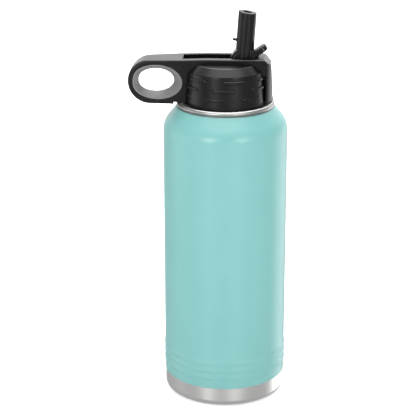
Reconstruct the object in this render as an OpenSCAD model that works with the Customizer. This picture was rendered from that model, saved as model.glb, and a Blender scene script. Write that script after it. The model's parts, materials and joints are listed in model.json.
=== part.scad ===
// Double-wall insulated bottle with a screw-on cap, a finger loop and a flip-up straw spout.
// Millimetres. The origin is on the bottle's axis, at the face it stands on.
// +Z is up, the finger loop points to -X, and the spout's hinge axis runs along Y.

/* [Bottle] */
// Outside diameter of the coated wall
body_d = 92; // [78:1:110]
// Height where the straight wall ends and the shoulder starts
wall_top = 206.5; // [150:0.5:260]
// Radius of the bend between the wall and the shoulder
shoulder_r = 16; // [8:1:22]
// Angle of the shoulder's cone from the bottle's axis
shoulder_angle = 39.9; // [30:0.1:50]
// Thickness of each steel wall
steel_t = 0.8; // [0.5:0.1:1.2]
// Thickness of the powder coat
coat_t = 0.3; // [0.2:0.05:0.5]
// Width of the vacuum space between the two walls
vacuum_gap = 3; // [2:0.5:5]

/* [Base] */
// Height of the bare steel band above the floor
band_h = 15; // [10:0.5:22]
// Radius of the rounded bottom edge
base_fillet = 5; // [3:0.5:8]
// Number of raised rings above the band
bead_count = 3; // [0:1:5]
// Height of the lowest ring's crest above the top of the band
bead_start = 8.5; // [4:0.5:14]
// Distance from one crest to the next
bead_pitch = 5.8; // [4:0.2:8]
// How far a crest stands out of the wall
bead_h = 0.5; // [0.2:0.1:1]
// Radius of the cover disc under the base
disc_r = 36; // [20:1:37]

/* [Neck] */
// Outside diameter of the bare half-round ring under the cap
ring_d = 72.4; // [66:0.2:80]
// Height of that ring
ring_h = 4.1; // [3:0.1:6]
// Outside diameter of the neck, at the root of its thread
neck_d = 52.4; // [44:0.2:54]
// Height of the neck's lip above the ring
neck_h = 16.2; // [14:0.1:20]
// Rise of the thread in one turn
thread_pitch = 5; // [4.6:0.1:6]
// Turns of thread on the neck
thread_turns = 1.5; // [1:0.1:1.6]
// Height of the thread's crest above its root
thread_h = 1; // [0.7:0.1:1.2]

/* [Cap] */
// Gap between the neck ring and the cap's lower edge
cap_gap = 1.5; // [1:0.1:2.5]
// Thickness of the grip wall behind the threaded sleeve
skirt_t = 2.2; // [1.8:0.1:3]
// How much the grip's radius draws in towards the top
grip_draft = 1.3; // [0.5:0.1:1.6]
// Width of the chamfer round the top of the grip, in plan
chamfer_w = 5.5; // [3:0.1:6.5]
// Height of that chamfer
chamfer_h = 5.2; // [3:0.1:6]
// Thickness of the silicone gasket
gasket_h = 2.2; // [1.5:0.1:3]
// Thickness of the deck that seals the neck
deck_t = 2.8; // [2:0.1:3.5]
// Length of a raised dash on the grip, as an angle
dash_angle = 30; // [15:1:34]
// Height of a dash
dash_w = 2.5; // [2:0.1:4]
// How far a dash stands out of the grip
dash_h = 0.9; // [0.4:0.05:0.9]
// Angle from one dash to the next in a row
dash_step = 55; // [48:1:60]
// Distance between the rows of dashes
row_pitch = 6.4; // [5.5:0.1:6.6]

/* [Strap] */
// Width of the strap across the cap
strap_w = 24; // [21:0.5:28]
// Width of the strap at the end of the finger loop
loop_end_w = 17; // [12:0.5:20]
// Outside radius of the finger loop
loop_r = 16.2; // [14:0.1:17]
// Distance from the bottle's axis to the end of the loop
loop_reach = 71.3; // [66:0.1:80]
// How far the top of the loop sits below the top of the strap
loop_drop = 1.4; // [0:0.1:3]
// Length of the opening's rim
hole_w = 36.4; // [30:0.2:37]
// Height of the opening's rim
hole_h = 25.4; // [20:0.2:26]
// How far the liner narrows the opening at each end
flare_x = 5.3; // [2:0.1:6]
// How far the liner narrows the opening above and below
flare_z = 4.4; // [2:0.1:5]
// Distance from the axis to the outside of the leg, at the cap's lower edge
leg_r = 34.7; // [34:0.1:38]
// Gap between the leg and the grip wall
leg_gap = 1.2; // [1:0.1:2]

/* [Spout] */
// Distance of the spout's hinge from the bottle's axis
hinge_x = 13.4; // [10:0.1:16]
// Outside diameter of the spout
spout_d = 13.3; // [11:0.1:14]
// Length of the spout from its hinge to its mouth
spout_l = 36.8; // [30:0.1:38]
// Diameter of the drinking channel
channel_d = 6; // [4:0.2:7]
// Lean of the open spout, away from the finger loop
spout_lean = 3.75; // [0:0.25:8]
// Radius of the drum that the spout turns on
drum_r = 10; // [9:0.1:11]
// Radius of the spout's two hinge stubs
stub_r = 1.8; // [1.4:0.1:2]
// Length of the thumb tab from the hinge
tab_l = 19.5; // [16:0.5:21]
// Outside diameter of the straw
straw_d = 8; // [7:0.2:9]

/* [Hidden] */
// Fits: running on the hinge stubs, light between the drum and its seal, free round moving parts.
stub_fit = 0.05;
stub_l = 2;
seal_fit = 0.1;
free_gap = 0.35;
thread_fit = 0.4;
foil_t = 0.2;
foil_gap = 0.1;
weld_gap = 0.05;
eps = 0.01;

// Bottle: the steel's own radius, the shoulder's end, the neck ring and the lip.
steel_r = body_d / 2 - coat_t;
ring_r = ring_d / 2;
neck_r = neck_d / 2;
cone_run = steel_r - shoulder_r * (1 - cos(shoulder_angle)) - (ring_r - 0.5);
cone_top = wall_top + shoulder_r * sin(shoulder_angle) + cone_run / tan(shoulder_angle);
ring_top = cone_top + ring_h;
lip_z = ring_top + neck_h;
mouth_r = neck_r - 3 * steel_t;
disc_t = steel_t;
cup_z = disc_t + 2.6;
liner_z = cup_z + 2 * steel_t + vacuum_gap;
land_z = ring_top - 0.8;

// Cap: everything hangs from the lip and the gasket on it.
cap_z = ring_top + cap_gap;
deck_z = lip_z + gasket_h;
seat_z = deck_z + deck_t;
sleeve_r = neck_r + thread_h + thread_fit;
sleeve_t = 1;
skirt_r = sleeve_r + sleeve_t;
grip_r = skirt_r + skirt_t;
grip_top_r = grip_r - grip_draft;

// Strap and spout: the folded spout lies in the strap's trough, over the cap's deck.
spout_r = spout_d / 2;
trough_floor = 1.5;
hinge_z = seat_z + trough_floor + free_gap + spout_r;
strap_top = hinge_z + 3;
cap_top = strap_top - 3.8;
chamfer_z = cap_top - chamfer_h;
strap_z = cap_z - 0.8;
drum = min(drum_r, hinge_z - seat_z + 1.5);
well_r = drum + free_gap;
loop_x = -(loop_reach - loop_r);
loop_z = strap_top - loop_drop - loop_r;
hole_x = -(loop_reach - 3.7 - hole_w / 2);
hole_z = loop_z + 0.2;
trough_w = spout_d + 2 * free_gap;
leg_in_r = grip_r + leg_gap;
plan_r = strap_w * 0.75;

// The hinge stays where the straw's socket clears the neck, and the trough ends short of the loop.
boss_r = 10;
spout_x = min(hinge_x, mouth_r - boss_r - 1 + drum * sin(spout_lean));
port_x = spout_x - drum * sin(spout_lean);
trough_end = max(spout_x - spout_l - 7.5, hole_x + hole_w / 2 + 0.2);

// Spout nub and the vent hole that it closes when the spout is folded.
nub_at = 15.1;
nub_l = 2.7;
nub_r = 1;
vent_x = spout_x - nub_at - 0.5;
vent_r = 2.2;

// Straw and its socket.
straw_r = straw_d / 2;
straw_t = 0.8;
boss_h = 5.7;
socket_in = channel_d / 2 - 0.4;
nipple_l = 8;
straw_foot = 5;

function arc(x, z, r, a0, a1, n = 10) =
    [for (i = [0:n]) [x + r * cos(a0 + (a1 - a0) * i / n), z + r * sin(a0 + (a1 - a0) * i / n)]];

// One raised ring: a short steep flank below the crest and a long gentle one above it.
function bead(z) = let (low = bead_pitch / 3, high = bead_pitch - bead_pitch / 3)
    concat([for (i = [0:3]) [steel_r + bead_h * (1 - cos(180 * i / 4)) / 2, z - low * (1 - i / 4)]],
        [for (i = [0:5]) [steel_r + bead_h * (1 + cos(180 * i / 6)) / 2, z + high * i / 6]]);

function beads() = [for (k = [0:1:bead_count - 1]) each bead(band_h + bead_start + k * bead_pitch)];

// Half profile of the steel outside, from the middle of the base up to the neck's lip.
function shell_points(ringed) = concat(
    [[-20, 0]],
    arc(steel_r - base_fillet, base_fillet, base_fillet, -90, 0),
    ringed ? beads() : [],
    arc(steel_r - shoulder_r, wall_top, shoulder_r, 0, shoulder_angle),
    [[ring_r - 0.5, cone_top]],
    arc(ring_r - ring_h / 2, cone_top + ring_h / 2, ring_h / 2, -60, 115),
    [[ring_r - ring_h, land_z], [neck_r, land_z], [neck_r, lip_z], [-20, lip_z]]);

module shell_outline(ringed = true) {
    polygon(shell_points(ringed));
}

// Half profile of the inner flask's outside: the shell's without its raised rings, one steel
// wall and the vacuum inwards.
module liner_outline() {
    union() {
        difference() {
            offset(delta = -(steel_t + vacuum_gap)) shell_outline(false);
            translate([-30, -1]) square([body_d, liner_z + 1]);
            translate([-30, ring_top]) square([body_d, neck_h + 1]);
        }
        translate([-20, cone_top - 20]) square([20 + mouth_r + steel_t, lip_z - cone_top + 20]);
    }
}

module right_half(z0, z1) {
    intersection() {
        children();
        translate([0, z0]) square([body_d, z1 - z0]);
    }
}

module ring_solid(r0, r1, z0, z1) {
    rotate_extrude($fn = 96) translate([r0, z0]) square([r1 - r0, z1 - z0]);
}

// Helical ridge: a trapezium carried round the axis; dir is 1 to stand outwards, -1 inwards.
module thread_ridge(r, dir, z0, turns) {
    steps = 36;
    count = round(turns * steps);
    root = (thread_pitch - 2 * thread_fit) / 4;
    crest = root * 0.5;
    lift = thread_h * 0.9;
    sink = 0.3;
    shape = [[-sink, -root], [lift, -crest], [lift, crest], [-sink, root]];
    function grow(i) = min(1, (i + 0.5) / 4, (count - i + 0.5) / 4);
    points = [for (i = [0:count]) for (p = shape)
        let (a = 360 * i / steps, g = grow(i), rr = r + dir * (p[0] > 0 ? p[0] * g : p[0]))
        [rr * cos(a), rr * sin(a), z0 + thread_pitch * i / steps + p[1]]];
    side = [for (i = [0:count - 1]) for (j = [0:3])
        let (a = 4 * i + j, b = 4 * i + (j + 1) % 4)
        dir > 0 ? [a, b, b + 4, a + 4] : [a + 4, b + 4, b, a]];
    first = dir > 0 ? [3, 2, 1, 0] : [0, 1, 2, 3];
    last = dir > 0 ? [0, 1, 2, 3] : [3, 2, 1, 0];
    polyhedron(points, concat(side, [first], [[for (k = last) 4 * count + k]]), convexity = 10);
}

module outer_shell() {
    color("silver") {
        union() {
            rotate_extrude($fn = 96) right_half(0, lip_z - steel_t) difference() {
                shell_outline();
                offset(delta = -steel_t) shell_outline();
                translate([-30, -1]) square([30 + disc_r, 1 + disc_t + eps]);
                translate([-30, -1]) square([30 + disc_r - steel_t, cup_z + 10]);
                translate([-30, lip_z - 3]) square([30 + neck_r - steel_t, 4]);
            }
            ring_solid(disc_r - steel_t, disc_r + steel_t, disc_t, cup_z);
            thread_ridge(neck_r, 1, land_z + thread_pitch * 0.9, thread_turns);
        }
    }
}

module powder_coat() {
    color("mediumaquamarine")
        rotate_extrude($fn = 96) right_half(band_h, cone_top) difference() {
            offset(delta = coat_t) shell_outline();
            shell_outline();
        }
}

module inner_liner() {
    color("gainsboro") {
        rotate_extrude($fn = 96) right_half(0, lip_z - steel_t) difference() {
            liner_outline();
            offset(delta = -steel_t) liner_outline();
            translate([-30, lip_z - 3]) square([30 + mouth_r, 4]);
        }
        ring_solid(mouth_r, neck_r, lip_z - steel_t, lip_z);
    }
}

module radiation_foil() {
    foil_r = steel_r - steel_t - vacuum_gap + foil_gap;
    color("goldenrod") ring_solid(foil_r, foil_r + foil_t, liner_z + 8, wall_top - 4);
}

// Pan that closes the vacuum space from below, with the evacuation hole in its middle.
module base_cup() {
    // The pan's edge meets the inside of the rounded bottom edge.
    drop = max(0, base_fillet - cup_z);
    cup_r = steel_r - base_fillet + sqrt(pow(base_fillet - steel_t, 2) - pow(drop, 2)) - weld_gap;
    color("darkgray") difference() {
        union() {
            ring_solid(0, cup_r, cup_z, cup_z + steel_t);
            ring_solid(8, 12, cup_z - 1, cup_z);
        }
        translate([0, 0, cup_z - 2]) cylinder(r = 2, h = 5, $fn = 48);
    }
}

module vacuum_seal() {
    color("dimgray") {
        translate([0, 0, cup_z - 0.9]) cylinder(r = 5, h = 0.9, $fn = 48);
        translate([0, 0, cup_z - eps]) cylinder(r = 2, h = steel_t, $fn = 48);
    }
}

module getter() {
    color("slategray") translate([18, 0, cup_z + steel_t]) cylinder(r = 5, h = 1.6, $fn = 48);
}

module base_disc() {
    color("lightgray") rotate_extrude($fn = 96)
        polygon([[0, 0], [disc_r - 0.6, 0], [disc_r, 0.4], [disc_r, disc_t], [0, disc_t]]);
}

module cap_gasket() {
    color("whitesmoke") ring_solid(mouth_r, neck_r, lip_z, deck_z);
}

// One dash: a bar bent round the grip, its ends rounded off.
module dash(phi, z) {
    mid = grip_r - grip_draft * (z - cap_z) / (chamfer_z - cap_z);
    half = dash_angle / 2 - asin(dash_w / 2 / mid);
    end_x = (mid + dash_h) * sin(half);
    rotate([0, 0, phi]) intersection() {
        ring_solid(mid - 1, mid + dash_h, z - dash_w, z + dash_w);
        translate([0, 0, z]) rotate([90, 0, 0]) linear_extrude(grip_r * 2) union() {
            square([2 * end_x, dash_w], center = true);
            translate([end_x, 0]) circle(d = dash_w, $fn = 32);
            translate([-end_x, 0]) circle(d = dash_w, $fn = 32);
        }
    }
}

module dashes() {
    mid_z = cap_z + (chamfer_z - cap_z) / 2 + 0.6;
    for (side = [0, 180])
        for (row = [-1:1])
            for (k = [-1:1])
                dash(side + k * dash_step + row * dash_step / 3.8, mid_z + row * row_pitch);
}

module cap_outline() {
    polygon([[0, cap_z], [grip_r, cap_z], [grip_top_r, chamfer_z],
        [grip_top_r - chamfer_w, cap_top], [0, cap_top]]);
}

// Room for the strap: a channel right across the cap, above the deck.
module strap_channel(gap) {
    translate([-60, -strap_w / 2 - gap, seat_z]) cube([120, strap_w + 2 * gap, 40]);
}

module grip_cap() {
    lobe = skirt_t - grip_draft + 1;
    color("dimgray") difference() {
        union() {
            rotate_extrude($fn = 96) difference() {
                cap_outline();
                translate([-1, cap_z - 1]) square([1 + skirt_r, deck_z - cap_z + 1]);
                translate([-1, seat_z]) square([1 + grip_top_r - lobe - chamfer_w, cap_top - seat_z - 2]);
            }
            difference() {
                dashes();
                translate([-60, -strap_w / 2, cap_z - 5]) cube([60, strap_w, 60]);
            }
            translate([port_x, 0, deck_z - boss_h]) cylinder(r = boss_r, h = boss_h + 0.5, $fn = 64);
        }
        strap_channel(0);
        translate([port_x, 0, deck_z - 1]) cylinder(r = boss_r - 2, h = deck_t + 2, $fn = 64);
        translate([port_x, 0, deck_z - boss_h - 1]) cylinder(r = socket_in + 2, h = 10, $fn = 64);
        translate([vent_x, 0, deck_z - 1]) cylinder(r = vent_r, h = deck_t + 2, $fn = 48);
    }
}

module cap_thread_sleeve() {
    color("gray") union() {
        ring_solid(sleeve_r, skirt_r, cap_z + 0.6, deck_z);
        thread_ridge(sleeve_r, -1, land_z + thread_pitch * 1.4, thread_turns);
    }
}

// Side view of the strap: round loop end, bar over the cap, chamfered corner and leg. The bar
// drops a little towards the loop, and the loop hangs lower than the ring on the bottle's neck.
module strap_side() {
    corner = 4.6;
    level_from = -14;
    polygon(concat(arc(loop_x, loop_z, loop_r, 90, 270, 48),
        [[-ring_r - 1.5, loop_z - loop_r], [-ring_r - 1.5, strap_z], [leg_r, strap_z],
            [leg_r - 1.4, strap_top - corner], [leg_r - 1.8 - corner, strap_top], [level_from, strap_top]]));
}

// Plan view: full width over the cap, drawn in towards the loop, round at the leg.
module strap_plan() {
    start = -grip_r;
    intersection() {
        polygon([[-loop_reach - 1, -loop_end_w / 2], [start, -strap_w / 2], [leg_r + 1, -strap_w / 2],
            [leg_r + 1, strap_w / 2], [start, strap_w / 2], [-loop_reach - 1, loop_end_w / 2]]);
        union() {
            translate([leg_r - plan_r, 0]) circle(r = plan_r, $fn = 96);
            translate([-loop_reach - 2, -strap_w]) square([loop_reach + 2 + leg_r - plan_r, 2 * strap_w]);
        }
    }
}

// Opening of the loop: blunt at the loop's end, drawn out towards the cap.
module oval(cx, w, h) {
    function bent(v, power) = sign(v) * pow(abs(v), power);
    polygon([for (a = [0:5:355]) let (blunt = cos(a) < 0)
        [cx + w / 2 * bent(cos(a), blunt ? 0.92 : 1), h / 2 * bent(sin(a), blunt ? 0.86 : 1)]]);
}

module through_y(w) {
    rotate([90, 0, 0]) translate([0, 0, -w / 2]) linear_extrude(w) children();
}

module carry_strap() {
    dish_h = 0.8;
    dish_r = strap_w / 2 - 2.2;
    color("darkslategray") difference() {
        intersection() {
            through_y(strap_w) strap_side();
            translate([0, 0, loop_z - loop_r - 1]) linear_extrude(strap_top - loop_z + loop_r + 2) strap_plan();
        }
        // Room for the cap below the channel: its wall on the loop's side, the gap at the leg.
        intersection() {
            rotate_extrude($fn = 96) polygon([[0, cap_z - 5], [grip_r, cap_z - 5], [grip_r, cap_z],
                [grip_r - grip_draft * (seat_z - cap_z) / (chamfer_z - cap_z), seat_z], [0, seat_z]]);
            translate([-60, -30, cap_z - 6]) cube([60, 60, 60]);
        }
        intersection() {
            translate([0, 0, cap_z - 5]) cylinder(r = leg_in_r, h = seat_z - cap_z + 5, $fn = 96);
            translate([0, -30, cap_z - 6]) cube([60, 60, 60]);
        }
        translate([0, 0, hole_z]) through_y(strap_w + 2) oval(hole_x, hole_w, hole_h);
        // Trough for the folded spout, well for its drum, and the vent under its nub.
        translate([trough_end, -trough_w / 2, seat_z + trough_floor])
            cube([spout_x - trough_end, trough_w, 30]);
        translate([spout_x, 0, hinge_z]) rotate([90, 0, 0])
            cylinder(r = well_r, h = trough_w, center = true, $fn = 96);
        translate([spout_x, -trough_w / 2, hinge_z]) cube([well_r, trough_w, 20]);
        translate([spout_x, 0, hinge_z]) rotate([90, 0, 0])
            cylinder(r = stub_r + stub_fit, h = trough_w + 2 * stub_l + 0.8, center = true, $fn = 48);
        // Shallow dish round the foot of the spout.
        translate([spout_x + 1, 0, strap_top - dish_h])
            cylinder(r1 = dish_r - dish_h, r2 = dish_r + dish_h, h = 2 * dish_h, $fn = 96);
        translate([vent_x, 0, seat_z - 1]) cylinder(r = vent_r, h = trough_floor + 2, $fn = 48);
    }
}

// Flared sleeve inside the loop: narrowest in the middle of the strap's width.
module loop_liner() {
    waist_shift = 1.5;
    waist_drop = 0.6;
    rim = 0.3;
    // Half width of the strap at the middle of the opening: there the flare is at its widest.
    rim_y = (loop_end_w + strap_w) / 4 + 0.2;
    color("gray") difference() {
        intersection() {
            translate([0, 0, hole_z]) through_y(strap_w) oval(hole_x, hole_w, hole_h);
            translate([0, 0, loop_z - loop_r]) linear_extrude(2 * loop_r) strap_plan();
        }
        for (side = [-1, 1]) {
            translate([0, 0, hole_z]) hull() {
                translate([0, side * 0.2, -waist_drop]) through_y(0.5)
                    oval(hole_x - waist_shift, hole_w - 2 * flare_x, hole_h - 2 * flare_z);
                translate([0, side * rim_y, 0]) through_y(0.5)
                    oval(hole_x, hole_w - 2 * rim, hole_h - 2 * rim);
            }
            translate([0, side * (rim_y + strap_w / 2), hole_z]) through_y(strap_w)
                oval(hole_x, hole_w - 2 * rim, hole_h - 2 * rim);
        }
    }
}

module flip_spout() {
    knuckle_r = spout_r + 1.4;
    knuckle_w = spout_d - 0.8;
    drum_w = spout_d - 2.8;
    tab_w = spout_d - 2.2;
    tab_angle = 34;
    tab_t = 4;
    tab_round = 4;
    mouth_slant = 4.5;
    color([0.16, 0.16, 0.17]) translate([spout_x, 0, hinge_z]) rotate([0, spout_lean, 0]) difference() {
        union() {
            intersection() {
                cylinder(r = spout_r, h = spout_l, $fn = 64);
                // Slanted mouth: lower on the tab's side.
                translate([0, 0, spout_l]) rotate([0, mouth_slant, 0])
                    translate([-20, -20, -60]) cube([40, 40, 59.2]);
            }
            rotate([90, 0, 0]) cylinder(r = knuckle_r, h = knuckle_w, center = true, $fn = 64);
            rotate([90, 0, 0]) cylinder(r = drum, h = drum_w, center = true, $fn = 96);
            rotate([90, 0, 0]) cylinder(r = stub_r, h = trough_w + 2 * stub_l, center = true, $fn = 48);
            // Thumb tab with ribs across its top.
            rotate([0, -tab_angle - spout_lean, 0]) {
                translate([0, 0, -tab_t / 2]) linear_extrude(tab_t)
                    polygon(concat([[2, -tab_w / 2]], arc(tab_l - tab_round, tab_round - tab_w / 2, tab_round, -90, 0),
                        arc(tab_l - tab_round, tab_w / 2 - tab_round, tab_round, 0, 90), [[2, tab_w / 2]]));
                for (k = [0:3])
                    translate([tab_l - 2.6 - 2 * k, 0, tab_t / 2 - 0.1]) rotate([90, 0, 0])
                        cylinder(r = 0.6, h = tab_w - 4, center = true, $fn = 24);
            }
            // Nub that closes the vent when the spout is folded.
            translate([-spout_r + 1, 0, nub_at]) rotate([0, -90, 0]) cylinder(r = nub_r, h = nub_l + 1, $fn = 32);
        }
        translate([0, 0, -drum - 1]) cylinder(d = channel_d, h = spout_l + drum + 2, $fn = 64);
    }
}

// Silicone seat under the drum.
module spout_seal() {
    color("whitesmoke") difference() {
        translate([port_x, 0, deck_z - 1]) cylinder(r = boss_r - 2, h = deck_t + 1, $fn = 64);
        translate([spout_x, 0, hinge_z]) rotate([90, 0, 0])
            translate([0, 0, -20]) cylinder(r = drum + seal_fit, h = 40, $fn = 96);
        translate([port_x, 0, deck_z - 3]) cylinder(d = channel_d, h = 20, $fn = 64);
    }
}

module straw_socket() {
    top = deck_z - 1;
    color("dimgray") difference() {
        union() {
            translate([port_x, 0, deck_z - boss_h]) cylinder(r = socket_in + 2, h = top - deck_z + boss_h, $fn = 64);
            translate([port_x, 0, deck_z - boss_h - nipple_l])
                cylinder(r = straw_r - straw_t, h = nipple_l + eps, $fn = 64);
        }
        translate([port_x, 0, deck_z - boss_h - nipple_l - 1]) cylinder(r = socket_in - 0.3, h = 30, $fn = 64);
    }
}

module straw() {
    foot = liner_z + steel_t + straw_foot;
    color([0.85, 0.9, 0.92, 0.6]) translate([port_x, 0, 0]) difference() {
        translate([0, 0, foot]) cylinder(r = straw_r, h = deck_z - boss_h - foot, $fn = 64);
        translate([0, 0, foot - 1]) cylinder(r = straw_r - straw_t, h = deck_z, $fn = 64);
    }
}

// Silicone duckbill under the vent hole.
module vent_valve() {
    flange = 4.5;
    drop = 4.5;
    color("whitesmoke") translate([vent_x, 0, deck_z]) difference() {
        rotate_extrude($fn = 64) polygon([[0, -drop - 1], [1.2, -drop - 1], [vent_r + 0.9, -1],
            [flange, -1], [flange, 0], [0, 0]]);
        rotate_extrude($fn = 64) polygon([[0, -drop], [0.4, -drop], [vent_r, -1], [vent_r, 1], [0, 1]]);
    }
}

outer_shell();
powder_coat();
inner_liner();
radiation_foil();
base_cup();
vacuum_seal();
getter();
base_disc();
cap_gasket();
grip_cap();
cap_thread_sleeve();
carry_strap();
loop_liner();
flip_spout();
spout_seal();
straw_socket();
straw();
vent_valve();
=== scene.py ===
import json
import math

import bmesh
import bpy
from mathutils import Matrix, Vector
from mathutils.geometry import intersect_point_line

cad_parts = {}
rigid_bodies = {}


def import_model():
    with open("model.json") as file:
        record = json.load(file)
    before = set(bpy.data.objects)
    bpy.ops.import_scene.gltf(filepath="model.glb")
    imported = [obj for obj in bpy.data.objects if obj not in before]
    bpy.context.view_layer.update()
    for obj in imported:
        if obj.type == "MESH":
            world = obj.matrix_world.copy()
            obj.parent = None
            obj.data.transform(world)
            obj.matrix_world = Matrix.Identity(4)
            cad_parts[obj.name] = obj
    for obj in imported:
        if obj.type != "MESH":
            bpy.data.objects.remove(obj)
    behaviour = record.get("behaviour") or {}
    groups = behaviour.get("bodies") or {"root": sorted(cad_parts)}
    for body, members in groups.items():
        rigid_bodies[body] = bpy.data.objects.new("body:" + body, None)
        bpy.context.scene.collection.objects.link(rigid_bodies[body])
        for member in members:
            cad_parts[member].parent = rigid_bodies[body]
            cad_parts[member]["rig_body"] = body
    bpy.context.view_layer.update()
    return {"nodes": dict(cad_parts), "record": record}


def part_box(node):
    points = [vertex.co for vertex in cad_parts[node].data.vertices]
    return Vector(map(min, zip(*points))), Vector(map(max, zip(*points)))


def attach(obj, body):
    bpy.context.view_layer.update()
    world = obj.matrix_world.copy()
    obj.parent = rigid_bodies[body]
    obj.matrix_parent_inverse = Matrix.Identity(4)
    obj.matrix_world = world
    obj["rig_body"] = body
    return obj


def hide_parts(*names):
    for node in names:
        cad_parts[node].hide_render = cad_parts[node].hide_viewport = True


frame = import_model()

MM = 0.001

# ---------------------------------------------------------------- camera
CAMERA_AZIMUTH = math.radians(3.0)
CAMERA_ELEVATION = math.radians(19.29)
CAMERA_DISTANCE = 1.1
CAMERA_LENS = 126.04
AIM_HEIGHT = 0.14384
AIM_ASIDE = -0.012907


def make_camera():
    right = Vector((math.cos(CAMERA_AZIMUTH), math.sin(CAMERA_AZIMUTH), 0))
    back = Vector((math.sin(CAMERA_AZIMUTH) * math.cos(CAMERA_ELEVATION),
                   -math.cos(CAMERA_AZIMUTH) * math.cos(CAMERA_ELEVATION),
                   math.sin(CAMERA_ELEVATION)))
    data = bpy.data.cameras.new("camera")
    data.lens = CAMERA_LENS
    data.sensor_width = 36
    data.clip_start = 0.05
    data.clip_end = 50
    camera = bpy.data.objects.new("camera", data)
    bpy.context.scene.collection.objects.link(camera)
    target = Vector((0, 0, AIM_HEIGHT)) + right * AIM_ASIDE
    camera.location = target + back * CAMERA_DISTANCE
    camera.rotation_euler = back.to_track_quat("Z", "Y").to_euler()
    bpy.context.scene.camera = camera


# ---------------------------------------------------------------- materials
NOISE_LOW = 0.3
NOISE_HIGH = 0.7


class Nodes:
    """A short way to write node trees."""

    def __init__(self, tree):
        self.tree = tree
        tree.nodes.clear()

    def add(self, kind, inputs=None, **settings):
        node = self.tree.nodes.new(kind)
        for key, value in settings.items():
            setattr(node, key, value)
        for key, value in (inputs or {}).items():
            if isinstance(value, bpy.types.NodeSocket):
                self.tree.links.new(value, node.inputs[key])
            else:
                node.inputs[key].default_value = value
        return node


def new_material(name):
    material = bpy.data.materials.new(name)
    material.use_nodes = True
    return material, Nodes(material.node_tree)


def object_space(n, scale=(1, 1, 1)):
    coords = n.add("ShaderNodeTexCoord")
    mapping = n.add("ShaderNodeMapping", {"Vector": coords.outputs["Object"], "Scale": scale})
    return mapping.outputs["Vector"]


def noise(n, where, scale, detail):
    return n.add("ShaderNodeTexNoise", {"Vector": where, "Scale": scale, "Detail": detail}).outputs["Fac"]


def mottled(n, pattern, dark, light):
    """A colour that wanders between two tones with a noise pattern."""
    ramp = n.add("ShaderNodeValToRGB", {"Fac": pattern})
    ramp.color_ramp.elements[0].position = NOISE_LOW
    ramp.color_ramp.elements[0].color = (*dark, 1)
    ramp.color_ramp.elements[1].position = NOISE_HIGH
    ramp.color_ramp.elements[1].color = (*light, 1)
    return ramp.outputs["Color"]


def spread(n, pattern, low, high):
    """A value that wanders between low and high with a noise pattern."""
    out = n.add("ShaderNodeMapRange", {
        "Value": pattern, "From Min": NOISE_LOW, "From Max": NOISE_HIGH, "To Min": low, "To Max": high})
    return out.outputs["Result"]


def surface(n, inputs):
    shader = n.add("ShaderNodeBsdfPrincipled", inputs)
    n.add("ShaderNodeOutputMaterial", {"Surface": shader.outputs[0]})
    return shader


def coat_material():
    material, n = new_material("teal_powder_coat")
    where = object_space(n)
    fine = noise(n, where, 2600.0, 3.0)
    broad = noise(n, where, 38.0, 4.0)
    bump = n.add("ShaderNodeBump", {"Height": fine, "Strength": 0.18, "Distance": 0.00006})
    surface(n, {
        "Base Color": mottled(n, broad, (0.139, 0.337, 0.327), (0.146, 0.349, 0.338)),
        "Roughness": spread(n, fine, 0.28, 0.34), "Normal": bump.outputs["Normal"]})
    return material


def steel_material(name, tone, rough, around=True):
    """Steel with fine lines round the bottle's axis, or with an even grain."""
    material, n = new_material(name)
    grain = object_space(n, (14, 14, 5200)) if around else object_space(n, (900, 900, 900))
    lines = noise(n, grain, 1.0, 3.0)
    broad = noise(n, object_space(n), 55.0, 3.0)
    bump = n.add("ShaderNodeBump", {"Height": lines, "Strength": 0.22, "Distance": 0.00003})
    dark = tuple(0.93 * c for c in tone)
    shader = surface(n, {
        "Base Color": mottled(n, lines, dark, tone), "Metallic": 1.0,
        "Roughness": spread(n, broad, rough - 0.03, rough + 0.03),
        "Anisotropic": 0.6 if around else 0.0, "Normal": bump.outputs["Normal"]})
    if around:
        tangent = n.add("ShaderNodeTangent", direction_type="RADIAL", axis="Z")
        n.tree.links.new(tangent.outputs[0], shader.inputs["Tangent"])
    return material


def plastic_material(name, tone, rough, specular=0.5):
    material, n = new_material(name)
    where = object_space(n)
    fine = noise(n, where, 900.0, 4.0)
    broad = noise(n, where, 60.0, 3.0)
    bump = n.add("ShaderNodeBump", {"Height": fine, "Strength": 0.15, "Distance": 0.00002})
    dark = tuple(0.9 * c for c in tone)
    surface(n, {
        "Base Color": mottled(n, broad, dark, tone), "Specular IOR Level": specular,
        "Roughness": spread(n, broad, rough - 0.03, rough + 0.03), "Normal": bump.outputs["Normal"]})
    return material


# ---------------------------------------------------------------- light and floor
# Lamps of the studio, as soft patches of the sky: direction, half angles of core and edge in degrees,
# strength.
LAMPS = [
    ((0.0, -0.25, 0.97), 20, 42, 2.2),      # overhead, towards the front
    ((0.0, 0.42, 0.91), 15, 28, 7.0),       # overhead, towards the back
    ((0.0, 0.86, 0.5), 34, 62, 1.0),        # wide, behind
    ((0.73, 0.61, -0.31), 10, 26, 1.7),     # low, right and behind
    ((-1.0, 0.0, -0.05), 9, 24, 1.1),       # left
    ((-0.46, -0.87, 0.17), 6, 12, 11.0),    # two in front, for the shoulder
    ((0.53, -0.83, 0.17), 6, 12, 9.0),
    ((-0.46, -0.83, -0.32), 3, 15, 0.9),    # two low in front, for the bare steel band
    ((0.36, -0.88, -0.32), 3, 15, 0.9),
]
SKY_FILL = 0.45
WHITE = (1, 1, 1, 1)


def lamp_patch(n, way, direction, core, edge, strength):
    facing = n.add("ShaderNodeVectorMath", {0: way, 1: Vector(direction).normalized()},
                   operation="DOT_PRODUCT")
    return n.add("ShaderNodeMapRange", {
        "Value": facing.outputs["Value"], "From Min": math.cos(math.radians(edge)),
        "From Max": math.cos(math.radians(core)), "To Min": 0.0, "To Max": strength},
        interpolation_type="SMOOTHSTEP").outputs["Result"]


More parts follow.
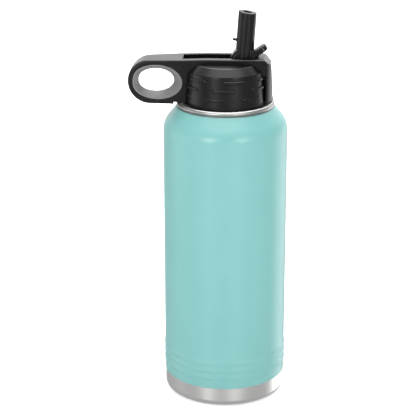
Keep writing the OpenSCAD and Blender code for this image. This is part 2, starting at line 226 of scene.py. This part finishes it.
def make_world():
    """The lamps and an even fill light the object; the camera itself sees plain white."""
    world = bpy.data.worlds.new("studio")
    world.use_nodes = True
    bpy.context.scene.world = world
    n = Nodes(world.node_tree)
    way = n.add("ShaderNodeTexCoord").outputs["Generated"]
    level = SKY_FILL
    for lamp in LAMPS:
        level = n.add("ShaderNodeMath", {0: lamp_patch(n, way, *lamp), 1: level}, operation="ADD").outputs[0]
    seen = n.add("ShaderNodeLightPath").outputs["Is Camera Ray"]
    lit = n.add("ShaderNodeBackground", {"Color": WHITE, "Strength": level})
    plain = n.add("ShaderNodeBackground", {"Color": WHITE, "Strength": 1.0})
    mix = n.add("ShaderNodeMixShader", {0: seen, 1: lit.outputs[0], 2: plain.outputs[0]})
    n.add("ShaderNodeOutputWorld", {"Surface": mix.outputs[0]})


def make_floor():
    material, n = new_material("floor")
    surface(n, {
        "Base Color": (0.75, 0.75, 0.75, 1), "Roughness": 0.9, "Specular IOR Level": 0.0,
        "Emission Color": WHITE, "Emission Strength": 0.32})
    mesh = bpy.data.meshes.new("floor")
    reach = 12
    corners = [(-reach, -reach, 0), (reach, -reach, 0), (reach, reach, 0), (-reach, reach, 0)]
    mesh.from_pydata(corners, [], [(0, 1, 2, 3)])
    floor = bpy.data.objects.new("floor", mesh)
    bpy.context.scene.collection.objects.link(floor)
    mesh.materials.append(material)
    floor.visible_glossy = False


# ---------------------------------------------------------------- meshes
WELD_GAP = 3e-6
FLAT_ANGLE = math.radians(0.5)
SHARP_ANGLE = math.radians(28)
CREASE_ANGLE = math.radians(40)
SMALL_STEPS = 3
BIG_STEPS = 5
AROUND = 192
FACE_WEIGHT = 60
# An edge is rounded only if it has this many times its radius of room beside it.
ROOM_NEEDED = 2.4
FAR = 1.0
MOSTLY_ALONG = 0.7


def place(mesh, name, node, material):
    """Shows a new mesh in place of a CAD node, on the same body."""
    piece = bpy.data.objects.new(name, mesh)
    bpy.context.scene.collection.objects.link(piece)
    mesh.materials.clear()
    mesh.materials.append(material)
    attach(piece, frame["nodes"][node]["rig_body"])
    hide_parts(node)
    return piece


def to_mesh(bm, name):
    """A smooth-shaded mesh whose flat faces stay flat up to their rounded edges."""
    for face in bm.faces:
        face.smooth = True
    for edge in bm.edges:
        edge.smooth = len(edge.link_faces) != 2 or edge.calc_face_angle(0) < CREASE_ANGLE
    mesh = bpy.data.meshes.new(name)
    bm.to_mesh(mesh)
    bm.free()
    work = bpy.data.objects.new(name + "_work", mesh)
    bpy.context.scene.collection.objects.link(work)
    modifier = work.modifiers.new("weigh", "WEIGHTED_NORMAL")
    modifier.keep_sharp = True
    modifier.weight = FACE_WEIGHT
    done = bpy.data.meshes.new_from_object(work.evaluated_get(bpy.context.evaluated_depsgraph_get()))
    bpy.data.objects.remove(work)
    bpy.data.meshes.remove(mesh)
    done.name = name
    return done


def arc(x, z, r, start, end, steps):
    angles = [math.radians(start + (end - start) * i / steps) for i in range(steps + 1)]
    return [(x + r * math.cos(a), z + r * math.sin(a)) for a in angles]


def lathe(bm, outline):
    """Turns a closed outline of (radius, height) points once round the bottle's axis."""
    rings = []
    for k in range(AROUND):
        angle = 2 * math.pi * k / AROUND
        rings.append([bm.verts.new((r * math.cos(angle), r * math.sin(angle), z)) for r, z in outline])
    count = len(outline)
    for k in range(AROUND):
        one, two = rings[k], rings[(k + 1) % AROUND]
        for i in range(count):
            j = (i + 1) % count
            bm.faces.new((one[i], two[i], two[j], one[j]))
    bmesh.ops.recalc_face_normals(bm, faces=bm.faces[:])


def cad_mesh(node):
    """A welded copy of a CAD node's mesh, with its flat faces made whole."""
    bm = bmesh.new()
    bm.from_mesh(frame["nodes"][node].data)
    bmesh.ops.remove_doubles(bm, verts=bm.verts, dist=WELD_GAP)
    bmesh.ops.dissolve_limit(bm, angle_limit=FLAT_ANGLE, verts=bm.verts[:], edges=bm.edges[:])
    return bm


def sharp_edges(bm):
    return [e for e in bm.edges if len(e.link_faces) == 2 and e.calc_face_angle(0) > SHARP_ANGLE]


def middle_of(edge):
    return (edge.verts[0].co + edge.verts[1].co) / 2


def soften(bm, edges, radius, steps):
    if edges:
        bmesh.ops.bevel(bm, geom=edges, offset=radius, offset_type="OFFSET", segments=steps, profile=0.5,
                        affect="EDGES", clamp_overlap=False, loop_slide=True)


def room(edge, sharp):
    """Shortest way from an edge, across either face beside it, to another sharp edge."""
    a, b = (v.co for v in edge.verts)
    middle = middle_of(edge)
    along = (b - a).normalized()
    least = FAR
    for other in {e for face in edge.link_faces for e in face.edges} & sharp:
        if set(other.verts) & set(edge.verts):
            continue
        c, d = (v.co for v in other.verts)
        part = intersect_point_line(middle, c, d)[1]
        gap = c.lerp(d, min(max(part, 0.0), 1.0)) - middle
        if abs(gap.dot(along)) < MOSTLY_ALONG * gap.length:
            least = min(least, gap.length)
    return least


def no_edge(edge):
    return False


def moulded(node, material, radius, big=no_edge, big_radius=0.0, plain=no_edge, turned=None, shortest=0.0):
    """A CAD node with its edges rounded as a mould leaves them.

    big picks edges that get a larger radius, plain picks edges left sharp, turned adds a lathed ring;
    big edges below the shortest length are closed up first.
    """
    bm = cad_mesh(node)
    edges = sharp_edges(bm)
    sharp = set(edges)
    small = [e for e in edges if not big(e) and not plain(e) and room(e, sharp) > ROOM_NEEDED * radius]
    soften(bm, small, radius, SMALL_STEPS)
    bm.normal_update()
    bmesh.ops.collapse(bm, edges=[e for e in sharp_edges(bm) if big(e) and e.calc_length() < shortest])
    bm.normal_update()
    soften(bm, [e for e in sharp_edges(bm) if big(e)], big_radius, BIG_STEPS)
    if turned:
        lathe(bm, turned)
    name = node + "_moulded"
    place(to_mesh(bm, name), name, node, material)


# ---------------------------------------------------------------- bottle body
# The same outline as the CAD part's, drawn with finer curves.
COAT_T = 0.3 * MM
COAT_EDGE = 0.12 * MM
STEEL_T = 0.8 * MM
STEEL_R = 45.7 * MM
BASE_FILLET = 5 * MM
DISC_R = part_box("base_disc")[1].x
DISC_LIP_H = 3.4 * MM
BAND_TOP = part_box("powder_coat")[0].z
BEADS = 3
BEAD_START = 8.5 * MM
BEAD_PITCH = 5.8 * MM
BEAD_H = 0.5 * MM
BEAD_LOW = BEAD_PITCH / 3
BEAD_HIGH = BEAD_PITCH - BEAD_LOW
WALL_TOP = 206.5 * MM
SHOULDER_R = 16 * MM
SHOULDER_ANGLE = 39.9
CONE_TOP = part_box("powder_coat")[1].z
RING_R = 36.2 * MM
RING_H = 4.1 * MM
RING_FOOT = 0.5 * MM
RING_TOP = CONE_TOP + RING_H
LAND_Z = RING_TOP - 0.8 * MM
NECK_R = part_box("cap_gasket")[1].x
LIP_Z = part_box("inner_liner")[1].z
THREAD_START = 4.5 * MM
THREAD_PITCH = 5 * MM
THREAD_TURNS = 1.5
THREAD_H = 0.9 * MM
THREAD_ROOT = 1.05 * MM
THREAD_SUNK = 0.3 * MM
THREAD_STEPS = 48
THREAD_FADE = 6


def bead_points(t):
    """Raised rings: a short steep flank below each crest and a long gentle one above it."""
    steps_low = 8
    steps_high = 12
    points = []
    for k in range(BEADS):
        crest = BAND_TOP + BEAD_START + k * BEAD_PITCH
        for i in range(steps_low):
            rise = (1 - math.cos(math.pi * i / steps_low)) / 2
            points.append((STEEL_R + t + BEAD_H * rise, crest - BEAD_LOW * (1 - i / steps_low)))
        for i in range(steps_high):
            rise = (1 + math.cos(math.pi * i / steps_high)) / 2
            points.append((STEEL_R + t + BEAD_H * rise, crest + BEAD_HIGH * i / steps_high))
    return points


def body_side(t):
    """Outline of wall and shoulder, a distance t outside the steel, from the band to the neck ring."""
    shoulder = arc(STEEL_R - SHOULDER_R, WALL_TOP, SHOULDER_R + t, 0, SHOULDER_ANGLE, 24)
    r, z = shoulder[-1]
    cone_r = r - (CONE_TOP - z) * math.tan(math.radians(SHOULDER_ANGLE))
    return bead_points(t) + shoulder + [(cone_r, CONE_TOP)]


def powder_coat_piece():
    """The coat's skin, with its two rims eased."""
    outside = [(STEEL_R + COAT_T - COAT_EDGE, BAND_TOP), (STEEL_R + COAT_T, BAND_TOP + COAT_EDGE)]
    outside += body_side(COAT_T)
    r, z = outside.pop()
    outside += [(r + COAT_EDGE, z - COAT_EDGE), (r - COAT_EDGE / 2, z)]
    inside = [(STEEL_R, BAND_TOP)] + body_side(0)
    bm = bmesh.new()
    lathe(bm, outside + inside[::-1])
    place(to_mesh(bm, "powder_coat_sprayed"), "powder_coat_sprayed", "powder_coat", COAT)


def neck_thread(bm):
    """A ridge that winds up the neck and fades into it at both ends."""
    count = round(THREAD_TURNS * THREAD_STEPS)
    rows = []
    for i in range(count + 1):
        angle = 2 * math.pi * i / THREAD_STEPS
        grow = min(1, (i + 0.5) / THREAD_FADE, (count - i + 0.5) / THREAD_FADE)
        z = LAND_Z + THREAD_START + THREAD_PITCH * i / THREAD_STEPS
        section = [(-THREAD_SUNK, -THREAD_ROOT), (THREAD_H * grow, -THREAD_ROOT / 2),
                   (THREAD_H * grow, THREAD_ROOT / 2), (-THREAD_SUNK, THREAD_ROOT)]
        row = []
        for out, up in section:
            r = NECK_R + out
            row.append(bm.verts.new((r * math.cos(angle), r * math.sin(angle), z + up)))
        rows.append(row)
    for one, two in zip(rows, rows[1:]):
        for j in range(4):
            bm.faces.new((one[j], two[j], two[(j + 1) % 4], one[(j + 1) % 4]))
    bm.faces.new(rows[0])
    bm.faces.new(rows[-1][::-1])
    bmesh.ops.recalc_face_normals(bm, faces=bm.faces[:])


def outer_shell_piece():
    """The steel shell: brushed below the cone's top; at the ring and the neck a darker copy of the same
    steel, a painted shade under the cap.
    """
    outside = [(DISC_R, 0), (STEEL_R - BASE_FILLET, 0)]
    outside += arc(STEEL_R - BASE_FILLET, BASE_FILLET, BASE_FILLET, -88, 0, 16)
    outside += body_side(0)[:-1]
    outside += [(RING_R - RING_FOOT, CONE_TOP)]
    outside += arc(RING_R - RING_H / 2, CONE_TOP + RING_H / 2, RING_H / 2, -60, 115, 24)
    outside += [(RING_R - RING_H, LAND_Z), (NECK_R, LAND_Z), (NECK_R, LIP_Z - STEEL_T)]
    inside = [(NECK_R - STEEL_T, LIP_Z - STEEL_T), (NECK_R - STEEL_T, LAND_Z - STEEL_T),
              (RING_R - RING_H, LAND_Z - STEEL_T)]
    inside += arc(STEEL_R - SHOULDER_R, WALL_TOP, SHOULDER_R - STEEL_T, SHOULDER_ANGLE, 0, 16)
    inside += bead_points(-STEEL_T)[::-1]
    inside += arc(STEEL_R - BASE_FILLET, BASE_FILLET, BASE_FILLET - STEEL_T, 0, -88, 12)
    inside += [(DISC_R + STEEL_T, STEEL_T), (DISC_R + STEEL_T, DISC_LIP_H), (DISC_R, DISC_LIP_H)]
    bm = bmesh.new()
    lathe(bm, outside + inside)
    neck_thread(bm)
    shell = place(to_mesh(bm, "outer_shell_spun"), "outer_shell_spun", "outer_shell", STEEL)
    # Faces above the cone's top take the darker copy of the steel: painted shade under the cap.
    shell.data.materials.append(STEEL_PAINTED_SHADE)
    for face in shell.data.polygons:
        face.material_index = int(face.center.z > CONE_TOP)


# ---------------------------------------------------------------- lid
SKIRT_R = 28.6 * MM
GRIP_R = 30.8 * MM
GRIP_DRAFT = 1.3 * MM
GRIP_H = 22.2 * MM
CAP_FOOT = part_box("grip_cap")[0].z
STRAP_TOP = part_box("carry_strap")[1].z
STRAP_SIDE_Y = 8.5 * MM
LINER_LOW, LINER_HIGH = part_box("loop_liner")
LINER_MIDDLE = (LINER_LOW + LINER_HIGH) / 2
LINER_HALF = (LINER_HIGH - LINER_LOW) / 2
LOOP_CLEAR = 1.04
FACES_SIDEWAYS = 0.9
FACES_ACROSS = 0.2
BAR_MARGIN = 1 * MM
BAR_SLACK = 0.2 * MM
MOULD_EDGE = 0.4 * MM
BAR_EDGE = 0.7 * MM
STRAP_EDGE = 1.3 * MM
LINER_EDGE = 0.3 * MM
SHORTEST_EDGE = 0.3 * MM
# The cap's dark lip that reaches down inside the steel ring.
LIP_IN_R = SKIRT_R + 0.1 * MM
LIP_OUT_R = GRIP_R - 0.5 * MM
LIP_FOOT = RING_TOP - 0.4 * MM
CAP_LIP = [(LIP_IN_R, CAP_FOOT), (LIP_IN_R, LIP_FOOT), (LIP_OUT_R, LIP_FOOT), (LIP_OUT_R, CAP_FOOT)]


def strap_outline_edge(edge):
    """True on the edges between the strap's two flat sides and its outline."""
    side, rim = sorted(edge.link_faces, key=lambda face: -abs(face.normal.y))
    middle = middle_of(edge)
    away = middle - LINER_MIDDLE
    clear_of_loop = math.hypot(away.x / LINER_HALF.x, away.z / LINER_HALF.z) > LOOP_CLEAR
    on_outline = middle.z > STRAP_TOP - 0.5 * MM or middle.x < LINER_HIGH.x - 4 * MM
    between = abs(side.normal.y) > FACES_SIDEWAYS and abs(rim.normal.y) < FACES_ACROSS
    return between and abs(middle.y) > STRAP_SIDE_Y and on_outline and clear_of_loop


def grip_bar_edge(edge):
    """True on the edges of the raised bars on the grip."""
    middle = middle_of(edge)
    wall = GRIP_R - GRIP_DRAFT * (middle.z - CAP_FOOT) / GRIP_H
    level = CAP_FOOT + BAR_MARGIN < middle.z < CAP_FOOT + GRIP_H - BAR_MARGIN
    return level and math.hypot(middle.x, middle.y) > wall - BAR_SLACK


def grip_bar_top(edge):
    """True on the bars' outer edges only."""
    return edge.is_convex and grip_bar_edge(edge)


# ---------------------------------------------------------------- scene
make_camera()
make_world()
make_floor()

COAT = coat_material()
STEEL = steel_material("brushed_steel", (0.86, 0.86, 0.85), 0.30)
# A darker copy of the brushed steel for the ring and the neck: painted shade under the cap, not a different
# finish.
STEEL_PAINTED_SHADE = steel_material("steel_painted_shade", (0.44, 0.44, 0.435), 0.34)
STEEL_IN = steel_material("pressed_steel", (0.8, 0.8, 0.79), 0.34, around=False)
BLACK = plastic_material("black_plastic", (0.003, 0.003, 0.0033), 0.28, specular=0.36)
SOFT_GREY = plastic_material("soft_grey_lining", (0.17, 0.17, 0.172), 0.5)
SILICONE = plastic_material("silicone", (0.72, 0.73, 0.72), 0.55)
STRAW = plastic_material("straw_plastic", (0.75, 0.8, 0.81), 0.3)
LOOKS = {"steel": STEEL, "teal_coat": COAT, "black_plastic": BLACK, "silicone": SILICONE,
         "straw_plastic": STRAW, "foil": STEEL_IN, "getter_metal": STEEL_IN}
for part in frame["record"]["subparts"]:
    carried = frame["nodes"][part["node"]]
    carried.data.materials.clear()
    carried.data.materials.append(LOOKS[part["material_slot"]])

powder_coat_piece()
outer_shell_piece()
moulded("grip_cap", BLACK, MOULD_EDGE, grip_bar_top, BAR_EDGE, plain=grip_bar_edge, turned=CAP_LIP)
moulded("carry_strap", BLACK, MOULD_EDGE, strap_outline_edge, STRAP_EDGE, shortest=SHORTEST_EDGE)
moulded("loop_liner", SOFT_GREY, LINER_EDGE)
moulded("flip_spout", BLACK, MOULD_EDGE)

scene = bpy.context.scene
scene.view_settings.view_transform = "Standard"
